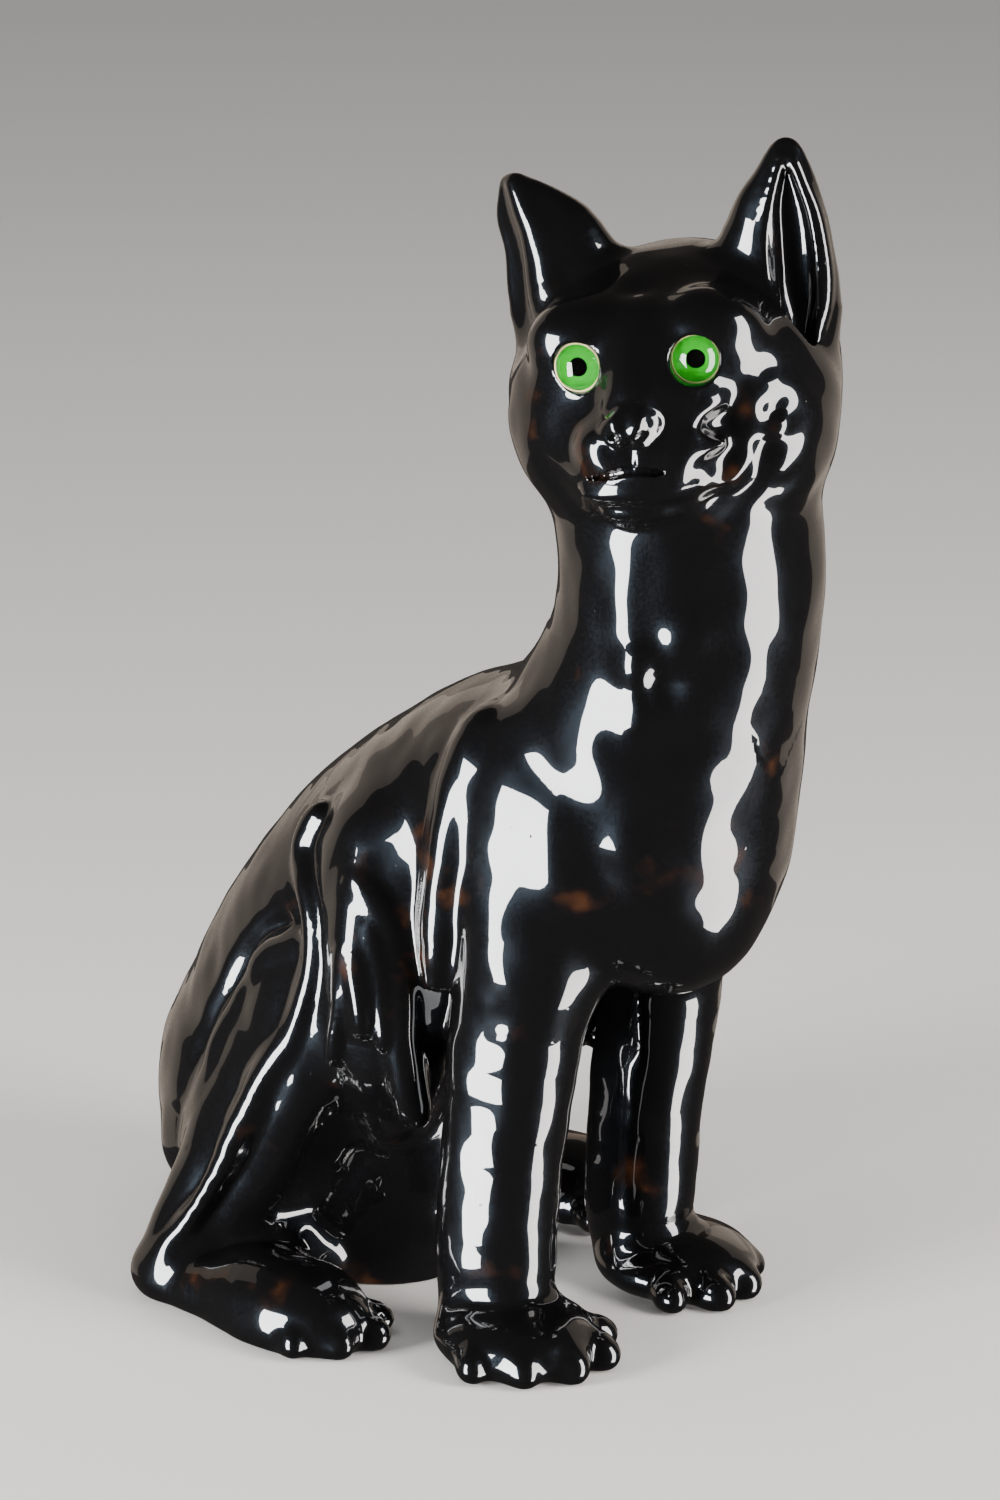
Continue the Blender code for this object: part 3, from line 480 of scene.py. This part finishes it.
def drill(matrix, radius, low, high, blend):
    """A round hole along the Z axis of a matrix, from low to high."""
    axes = np.array(matrix.to_3x3())
    middle = np.array(matrix.translation)

    def distance(points):
        local = (points - middle) @ axes
        across = np.hypot(local[..., 0], local[..., 1]) - radius
        along = np.abs(local[..., 2] - (low + high) / 2) - (high - low) / 2
        outside = np.hypot(np.maximum(across, 0), np.maximum(along, 0))
        return outside + np.minimum(np.maximum(across, along), 0)

    reach = radius + max(abs(low), abs(high))
    return distance, middle - reach, middle + reach, blend, True


def openings():
    """The eye sockets and the firing vent."""
    holes = [drill(eye_matrix(side), SOCKET_RADIUS, -SOCKET_DEPTH, SOCKET_REACH, SOCKET_BLEND)
             for side in (-1, 1)]
    under = Matrix.Translation((*VENT_CENTRE, 0.0))
    holes.append(drill(under, VENT_RADIUS, -VENT_DEPTH, VENT_DEPTH, THIN_BLEND))
    return holes


def wave_field(points, seed, count, shortest, longest, slope):
    """A sum of seeded plane waves whose slopes together have the given size."""
    draw = np.random.default_rng(seed)
    ways = draw.normal(size=(count, 3))
    ways /= np.linalg.norm(ways, axis=1)[:, None]
    lengths = np.exp(draw.uniform(math.log(shortest), math.log(longest), count))
    phases = draw.uniform(0, 2 * math.pi, count)
    heights = slope * math.sqrt(2 / count) * lengths / (2 * math.pi)
    return np.sin(points @ (ways * (2 * math.pi / lengths)[:, None]).T + phases) @ heights


def tufts(points):
    """Lumps of fur and flesh, each patch fading out around its middle."""
    patches = [(from_head(middle), HEAD_AXES, *rest) for middle, *rest in HEAD_TUFTS]
    patches += [(np.array(middle), np.eye(3), *rest) for middle, *rest in BODY_TUFTS]
    rise = np.zeros(len(points))
    for middle, axes, spread, waves in patches:
        held = (((points - middle) @ axes / np.array(spread)) ** 2).sum(1)
        near = np.flatnonzero(held < TUFT_REACH)
        rise[near] += np.exp(-held[near]) * wave_field(points[near], *waves)
    return rise


def clay(points, masses, extra):
    """Signed distance to the finished skin; masses count as far as extra beyond their blend."""
    total = np.full(len(points), CLAY_FAR)
    for distance, near, far, blend, carve in masses:
        reach = blend + extra
        chosen = np.flatnonzero(((points > near - reach) & (points < far + reach)).all(1))
        if not len(chosen):
            continue
        gap = distance(points[chosen])
        if carve:
            total[chosen] = -smooth_min(-total[chosen], gap, blend)
        else:
            total[chosen] = smooth_min(total[chosen], gap, blend)
    total += wave_field(points, *WAVES) + tufts(points)
    return -smooth_min(-total, points[:, 2], SOLE_BLEND)


def levels():
    """Heights of the grid's levels, and the cell size at each."""
    heights, cells = [], []
    z = GRID_FLOOR
    while z < GRID_TOP:
        share = np.clip((z - CELL_CHANGE[0]) / (CELL_CHANGE[1] - CELL_CHANGE[0]), 0, 1)
        cell = BODY_CELL + (HEAD_CELL - BODY_CELL) * share * share * (3 - 2 * share)
        heights.append(z)
        cells.append(cell)
        z += cell
    return np.array(heights), np.array(cells)


def grid_place(steps, heights, cells):
    """Millimetre places of points given in grid steps."""
    count = np.arange(len(heights))
    cell = np.interp(steps[:, 2], count, cells)
    x = GRID_AXIS[0] + (steps[:, 0] - GRID_SIDE) * cell
    y = GRID_AXIS[1] + (steps[:, 1] - GRID_FRONT) * cell
    return np.stack([x, y, np.interp(steps[:, 2], count, heights)], 1)


def sampled(masses, heights, cells):
    """The clay on the grid: exact close to the skin, and only its sign elsewhere."""
    counts = np.array([2 * GRID_SIDE + 1, GRID_FRONT + GRID_BACK + 1, len(heights)])
    blocks = -(-(counts - 1) // COARSE)
    nodes = np.indices(blocks + 1).reshape(3, -1).T * COARSE
    rough = clay(grid_place(nodes.astype(float), heights, cells), masses, COARSE_MARGIN).reshape(blocks + 1)
    corners = [rough[tuple(slice(c, c + n) for c, n in zip(corner, blocks))]
               for corner in itertools.product((0, 1), repeat=3)]
    block_cell = np.interp(np.arange(blocks[2]) * COARSE, np.arange(len(cells)), cells)
    close = np.min(np.abs(corners), axis=0) < SKIN_REACH * COARSE * block_cell
    whole = np.ix_(*[np.minimum(np.arange(n) // COARSE, b - 1) for n, b in zip(counts, blocks)])
    near = with_far_faces(close[whole])
    field = np.where(corners[0][whole] < 0, -CLAY_FAR, CLAY_FAR)
    places = grid_place(np.argwhere(near).astype(float), heights, cells)
    field[near] = clay(places, masses, CLOSE_MARGIN)
    return field


def with_far_faces(near):
    """Marks of the samples of coarse blocks, spread onto the far face of each marked block."""
    for axis in range(3):
        face = [slice(None)] * 3
        face[axis] = slice(COARSE, None, COARSE)
        before = [slice(None)] * 3
        before[axis] = slice(COARSE - 1, -1, COARSE)
        marks = near[tuple(face)]
        marks |= near[tuple(before)][tuple(slice(0, n) for n in marks.shape)]
    return near


def surface_net(field):
    """Points in grid steps and outward quads of the zero surface."""
    index, points = net_points(field)
    return points, net_quads(field < 0, index)


def net_points(field):
    """The numbering of the grid cells the surface crosses, and one point for each."""
    inside = field < 0
    size = np.array(field.shape) - 1
    filled = np.zeros(size, np.uint8)
    for corner in itertools.product((0, 1), repeat=3):
        filled += inside[tuple(slice(c, c + n) for c, n in zip(corner, size))]
    cells = np.argwhere((filled > 0) & (filled < 8))
    index = np.full(size, -1)
    index[tuple(cells.T)] = np.arange(len(cells))
    total = np.zeros((len(cells), 3))
    hits = np.zeros(len(cells))
    for axis in range(3):
        others = [a for a in range(3) if a != axis]
        for shift in itertools.product((0, 1), repeat=2):
            start = cells.copy()
            start[:, others] += shift
            end = start.copy()
            end[:, axis] += 1
            a, b = field[tuple(start.T)], field[tuple(end.T)]
            crossed = (a < 0) != (b < 0)
            spot = start.astype(float)
            spot[:, axis] += np.where(crossed, a / np.where(crossed, a - b, 1.0), 0.0)
            total += crossed[:, None] * spot
            hits += crossed
    return index, total / hits[:, None]


def net_quads(inside, index):
    """A quad round every grid edge that passes through the surface, facing out."""
    quads = []
    for axis in range(3):
        u, v = (axis + 1) % 3, (axis + 2) % 3
        near = [slice(1, -1)] * 3
        near[axis] = slice(0, -1)
        far = list(near)
        far[axis] = slice(1, None)
        edges = np.argwhere(inside[tuple(near)] != inside[tuple(far)])
        out = inside[tuple(near)][tuple(edges.T)]
        edges[:, [u, v]] += 1
        ring = []
        for du, dv in ((-1, -1), (0, -1), (0, 0), (-1, 0)):
            corner = edges.copy()
            corner[:, u] += du
            corner[:, v] += dv
            ring.append(index[tuple(corner.T)])
        ring = np.stack(ring, 1)
        quads.append(np.where(out[:, None], ring, ring[:, ::-1]))
    return np.vstack(quads)


def slopes(points, masses):
    """Distance and its gradient at each point, from four samples around it."""
    corners = np.array(((1, 1, 1), (1, -1, -1), (-1, 1, -1), (-1, -1, 1)), float)
    samples = np.array([clay(points + SLOPE_REACH * c, masses, SKIN_MARGIN) for c in corners])
    return samples.mean(0), samples.T @ corners / (len(corners) * SLOPE_REACH)


def skin():
    """Points, quads and normals of the whole glazed skin, in millimetres."""
    masses = body_masses() + head_masses() + openings()
    heights, cells = levels()
    steps, quads = surface_net(sampled(masses, heights, cells))
    points = grid_place(steps, heights, cells)
    for _ in range(SETTLING_ROUNDS):
        gap, slope = slopes(points, masses)
        move = -gap / np.maximum((slope ** 2).sum(1), LEAST_SLOPE)
        points = points + np.clip(move, -LONGEST_MOVE, LONGEST_MOVE)[:, None] * slope
    normals = slope / np.linalg.norm(slope, axis=1)[:, None]
    return points, quads, normals


def inside_seams(points, seams, side):
    """Which points lie inside every seam plane of a casting."""
    held = np.ones(len(points), bool)
    for point, out in seams:
        place, normal = np.array(mirrored((point, out), side))
        held &= (points - place) @ normal < 0
    return held


def skin_piece(name, node, points, quads, normals, shades):
    """One casting's share of the skin, as an object riding on the part."""
    used, faces = np.unique(quads, return_inverse=True)
    mesh = bpy.data.meshes.new(name)
    places = (points[used] - FOOTPRINT_MIDDLE) * MM
    mesh.from_pydata(places.tolist(), [], faces.reshape(quads.shape).tolist())
    mesh.shade_smooth()
    mesh.normals_split_custom_set_from_vertices(normals[used].tolist())
    for shade in shades:
        mesh.materials.append(shade)
    soles = (points[quads][:, :, 2] < SOLE_LEVEL).all(1)
    mesh.polygons.foreach_set("material_index", soles.astype(np.int32))
    obj = bpy.data.objects.new(name, mesh)
    bpy.context.scene.collection.objects.link(obj)
    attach(obj, "root")
    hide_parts(node)
    return obj


def make_skin(shades):
    """The glazed skin, split where the castings meet."""
    points, quads, normals = skin()
    centres = points[quads].mean(1)
    left = np.ones(len(quads), bool)
    for name, node, seams, side in CASTINGS:
        held = left & inside_seams(centres, seams, side)
        left &= ~held
        skin_piece(name, node, points, quads[held], normals, shades)
    skin_piece("trunk_skin", "trunk_casting", points, quads[left], normals, shades)


def node_tree(name):
    """A new material, its nodes and links, and its Principled shader."""
    made = bpy.data.materials.new(name)
    made.use_nodes = True
    nodes = made.node_tree.nodes
    return made, nodes, made.node_tree.links, nodes["Principled BSDF"]


def noise(nodes, links, place, scale, detail, roughness):
    """A noise texture over the piece's own coordinates; scale is in lumps per metre."""
    made = nodes.new("ShaderNodeTexNoise")
    made.inputs["Scale"].default_value = scale
    made.inputs["Detail"].default_value = detail
    made.inputs["Roughness"].default_value = roughness
    links.new(place, made.inputs["Vector"])
    return made.outputs["Fac"]


def ranged(nodes, links, value, low, high, to_low=0.0, to_high=1.0):
    """A value mapped from one range to another, held at the ends."""
    made = nodes.new("ShaderNodeMapRange")
    made.interpolation_type = "SMOOTHSTEP"
    for name, number in (("From Min", low), ("From Max", high), ("To Min", to_low), ("To Max", to_high)):
        made.inputs[name].default_value = number
    links.new(value, made.inputs["Value"])
    return made.outputs["Result"]


def combined(nodes, links, operation, first, second):
    """Two values put together by a Math node."""
    made = nodes.new("ShaderNodeMath")
    made.operation = operation
    for socket, value in zip(made.inputs, (first, second)):
        if isinstance(value, float):
            socket.default_value = value
        else:
            links.new(value, socket)
    return made.outputs[0]


def blended(nodes, links, factor, first, second):
    """A colour passing from the first to the second as the factor rises."""
    made = nodes.new("ShaderNodeMix")
    made.data_type = "RGBA"
    made.inputs["A"].default_value = (*first, 1)
    made.inputs["B"].default_value = (*second, 1)
    links.new(factor, made.inputs["Factor"])
    return made.outputs["Result"]


def relief(nodes, links, height, depth):
    """A normal raised by a height; depth is in metres."""
    made = nodes.new("ShaderNodeBump")
    made.inputs["Strength"].default_value = BUMP_STRENGTH
    made.inputs["Distance"].default_value = depth
    links.new(height, made.inputs["Height"])
    return made.outputs["Normal"]


def glaze():
    """Glossy black glaze: a clear coat over a speckled body, rust-brown where it ran thin, pinholed."""
    made, nodes, links, shader = node_tree("glossy_black_glaze")
    place = nodes.new("ShaderNodeTexCoord").outputs["Object"]
    patches = ranged(nodes, links, noise(nodes, links, place, *PATCH_NOISE), *PATCH_RANGE)
    streaks = ranged(nodes, links, noise(nodes, links, place, *STREAK_NOISE), *STREAK_RANGE)
    thin = combined(nodes, links, "MULTIPLY", patches, streaks)
    links.new(blended(nodes, links, thin, GLAZE_BLACK, GLAZE_RUST), shader.inputs["Base Color"])
    speckle = noise(nodes, links, place, *SPECKLE_NOISE)
    links.new(ranged(nodes, links, speckle, *SPECKLE_RANGE), shader.inputs["Roughness"])
    normal = relief(nodes, links, glaze_height(nodes, links, place), GLAZE_DEPTH)
    links.new(normal, shader.inputs["Normal"])
    links.new(normal, shader.inputs["Coat Normal"])
    for socket, value in GLAZE_SOCKETS:
        shader.inputs[socket].default_value = value
    return made


def glaze_height(nodes, links, place):
    """Height of the glaze: scattered pinholes over a faint orange peel."""
    cells = nodes.new("ShaderNodeTexVoronoi")
    cells.inputs["Scale"].default_value = PINHOLE_SCALE
    links.new(place, cells.inputs["Vector"])
    pins = ranged(nodes, links, cells.outputs["Distance"], *PINHOLE_RANGE)
    clear = ranged(nodes, links, noise(nodes, links, place, *CLEAR_NOISE), *CLEAR_RANGE)
    pins = combined(nodes, links, "MAXIMUM", pins, clear)
    peel = combined(nodes, links, "MULTIPLY", noise(nodes, links, place, *PEEL_NOISE), PEEL_SHARE)
    return combined(nodes, links, "ADD", pins, peel)


def mottled(name, first, second, scale, rough, depth, settings=()):
    """A material whose colour, roughness and relief follow one noise; scale is in lumps per metre."""
    made, nodes, links, shader = node_tree(name)
    place = nodes.new("ShaderNodeTexCoord").outputs["Object"]
    grain = noise(nodes, links, place, scale, *GRAIN_DETAIL)
    links.new(blended(nodes, links, grain, first, second), shader.inputs["Base Color"])
    links.new(ranged(nodes, links, grain, *GRAIN_RANGE, *rough), shader.inputs["Roughness"])
    links.new(relief(nodes, links, grain, depth), shader.inputs["Normal"])
    for socket, value in settings:
        shader.inputs[socket].default_value = value
    return made


def turned_mesh(name, profile):
    """A closed lathe form about Z from (radius, height) points running down the outside."""
    points, faces, rings = [], [], []
    for radius, height in profile:
        count = TURNED_STEPS if radius else 1
        rings.append(list(range(len(points), len(points) + count)))
        for i in range(count):
            angle = 2 * math.pi * i / count
            points.append((radius * math.cos(angle), radius * math.sin(angle), height))
    pairs = list(zip(rings[:-1], rings[1:]))
    if profile[0][0]:
        pairs.append((rings[-1], rings[0]))
    for upper, lower in pairs:
        for i in range(TURNED_STEPS):
            j = (i + 1) % TURNED_STEPS
            if len(upper) == 1:
                faces.append((upper[0], lower[i], lower[j]))
            elif len(lower) == 1:
                faces.append((upper[i], lower[0], upper[j]))
            else:
                faces.append((upper[i], lower[i], lower[j], upper[j]))
    mesh = bpy.data.meshes.new(name)
    mesh.from_pydata([tuple(c * MM for c in p) for p in points], [], faces)
    mesh.shade_smooth()
    return mesh


def eye_piece(name, node, side, profile, shade):
    """One turned piece of an eye, set in the face."""
    mesh = turned_mesh(name, profile)
    mesh.materials.append(shade)
    obj = bpy.data.objects.new(name, mesh)
    bpy.context.scene.collection.objects.link(obj)
    matrix = eye_matrix(side)
    matrix.translation = (matrix.translation - Vector(FOOTPRINT_MIDDLE)) * MM
    obj.matrix_world = matrix
    mesh.set_sharp_from_angle(angle=math.radians(SHARP_ANGLE))
    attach(obj, "root")
    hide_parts(node)
    return obj


def dome_profile():
    """Domed front, short straight edge and flat back of an eye's glass."""
    sphere = (DOME_RADIUS ** 2 + DOME_RISE ** 2) / (2 * DOME_RISE)
    centre = DOME_EDGE + DOME_RISE - sphere
    widest = math.asin(DOME_RADIUS / sphere)
    turns = [widest * i / DOME_RINGS for i in range(DOME_RINGS + 1)]
    dome = [(sphere * math.sin(turn), centre + sphere * math.cos(turn)) for turn in turns]
    return dome + [(DOME_RADIUS, DOME_BACK), (0.0, DOME_BACK)]


def make_eyes():
    """Both eyes."""
    shades = {key: mottled(*values) for key, values in EYE_SHADES.items()}
    pieces = (
        ("_glass_dome", "_eye_lens", dome_profile(), "clear_glass"),
        ("_green_disc", "_eye_iris", GREEN_DISC, "green_enamel"),
        ("_pupil", "_eye_pupil", PUPIL, "black_glass"),
        ("_cement_ring", "_eye_bedding", CEMENT_CUP, "cream_cement"),
    )
    for side_name, side in (("left", 1), ("right", -1)):
        for name, node, profile, slot in pieces:
            eye_piece(side_name + name, side_name + node, side, profile, shades[slot])


def outward(azimuth, elevation):
    """The direction at an azimuth from the cat's front, positive to its left, and an elevation."""
    turn, rise = math.radians(azimuth), math.radians(elevation)
    return Vector((math.sin(turn) * math.cos(rise), -math.cos(turn) * math.cos(rise), math.sin(rise)))


def aimed(name, data, azimuth, elevation, distance):
    """A camera or lamp looking at the cat from the given direction and distance."""
    obj = bpy.data.objects.new(name, data)
    bpy.context.scene.collection.objects.link(obj)
    out = outward(azimuth, elevation)
    obj.location = AIM + out * distance
    obj.rotation_euler = out.to_track_quat("Z", "Y").to_euler()
    return obj


def softbox(name, azimuth, elevation, distance, size, power, colour, dull, glossy):
    """A rectangular lamp; dull and glossy say which kinds of surface it shows on."""
    data = bpy.data.lights.new(name, "AREA")
    data.shape = "RECTANGLE"
    data.size, data.size_y = size
    data.energy = power
    data.color = colour
    obj = aimed(name, data, CAMERA_AZIMUTH + azimuth, elevation, distance)
    obj.visible_diffuse = dull
    obj.visible_glossy = glossy


def make_floor():
    """The pale floor, which dull light falls on but the glaze doesn't mirror."""
    corners = [(x * FLOOR_REACH, y * FLOOR_REACH, 0.0) for x, y in ((-1, -1), (1, -1), (1, 1), (-1, 1))]
    mesh = bpy.data.meshes.new("floor")
    mesh.from_pydata(corners, [], [(0, 1, 2, 3)])
    mesh.materials.append(mottled(*FLOOR_SHADE))
    floor = bpy.data.objects.new("floor", mesh)
    bpy.context.scene.collection.objects.link(floor)
    floor.visible_glossy = False
    floor.visible_shadow = False


def make_world():
    """The dim room around the floor."""
    world = bpy.data.worlds.new("studio")
    world.use_nodes = True
    background = world.node_tree.nodes["Background"]
    background.inputs["Color"].default_value = (*WORLD_COLOUR, 1)
    background.inputs["Strength"].default_value = WORLD_STRENGTH
    bpy.context.scene.world = world


def make_camera():
    """The camera at the cat's right front."""
    camera = bpy.data.cameras.new("camera")
    camera.lens = LENS
    bpy.context.scene.camera = aimed("camera", camera, CAMERA_AZIMUTH, CAMERA_RISE, CAMERA_DISTANCE)


def make_stage():
    """Floor, lamps, world and camera."""
    make_floor()
    for lamp in LAMPS:
        softbox(*lamp)
    make_world()
    make_camera()


make_stage()
make_skin((glaze(), mottled(*SOLE_SHADE)))
make_eyes()
